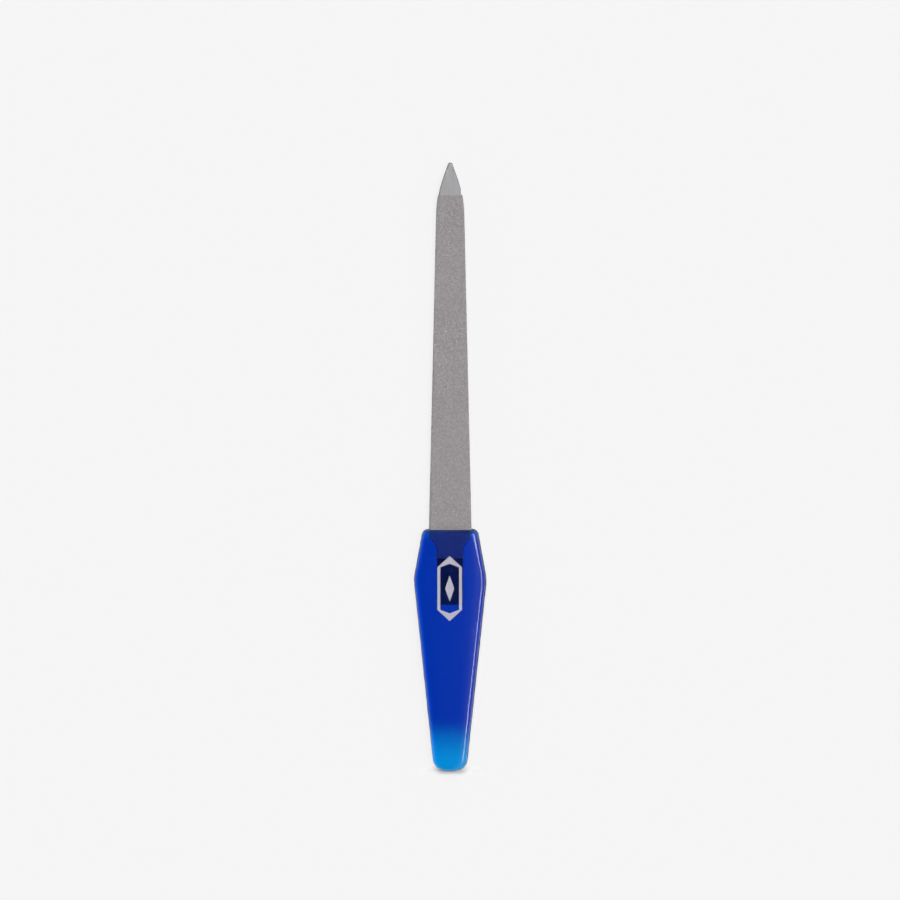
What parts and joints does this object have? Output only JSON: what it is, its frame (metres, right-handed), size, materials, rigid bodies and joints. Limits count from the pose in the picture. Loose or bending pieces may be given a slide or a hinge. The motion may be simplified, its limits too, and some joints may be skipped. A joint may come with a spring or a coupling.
{
  "type": "nail file",
  "caption": "Flat nail file with a pointed bare steel tip, grit-coated tapering blade and a translucent moulded handle round its tang.",
  "frame": {"origin": "centre of the foot of the bounding box, on the surface that the back of the handle rests on", "axes": "+Y along the file towards its point, +X across its width, +Z out of the front face"},
  "size_m": [0.021, 0.178, 0.0048],
  "materials": {
    "blank_steel": "satin ground",
    "coarse_grit": "coarse abrasive grit",
    "fine_grit": "fine abrasive grit",
    "blue_moulding": "translucent gloss",
    "silver_foil": "hot-stamped foil"
  },
  "bodies": {
    "root": {"blade_blank": "blank_steel", "coarse_grit_face": "coarse_grit", "fine_grit_face": "fine_grit", "handle": "blue_moulding", "foil_mark": "silver_foil"}
  },
  "joints": []
}
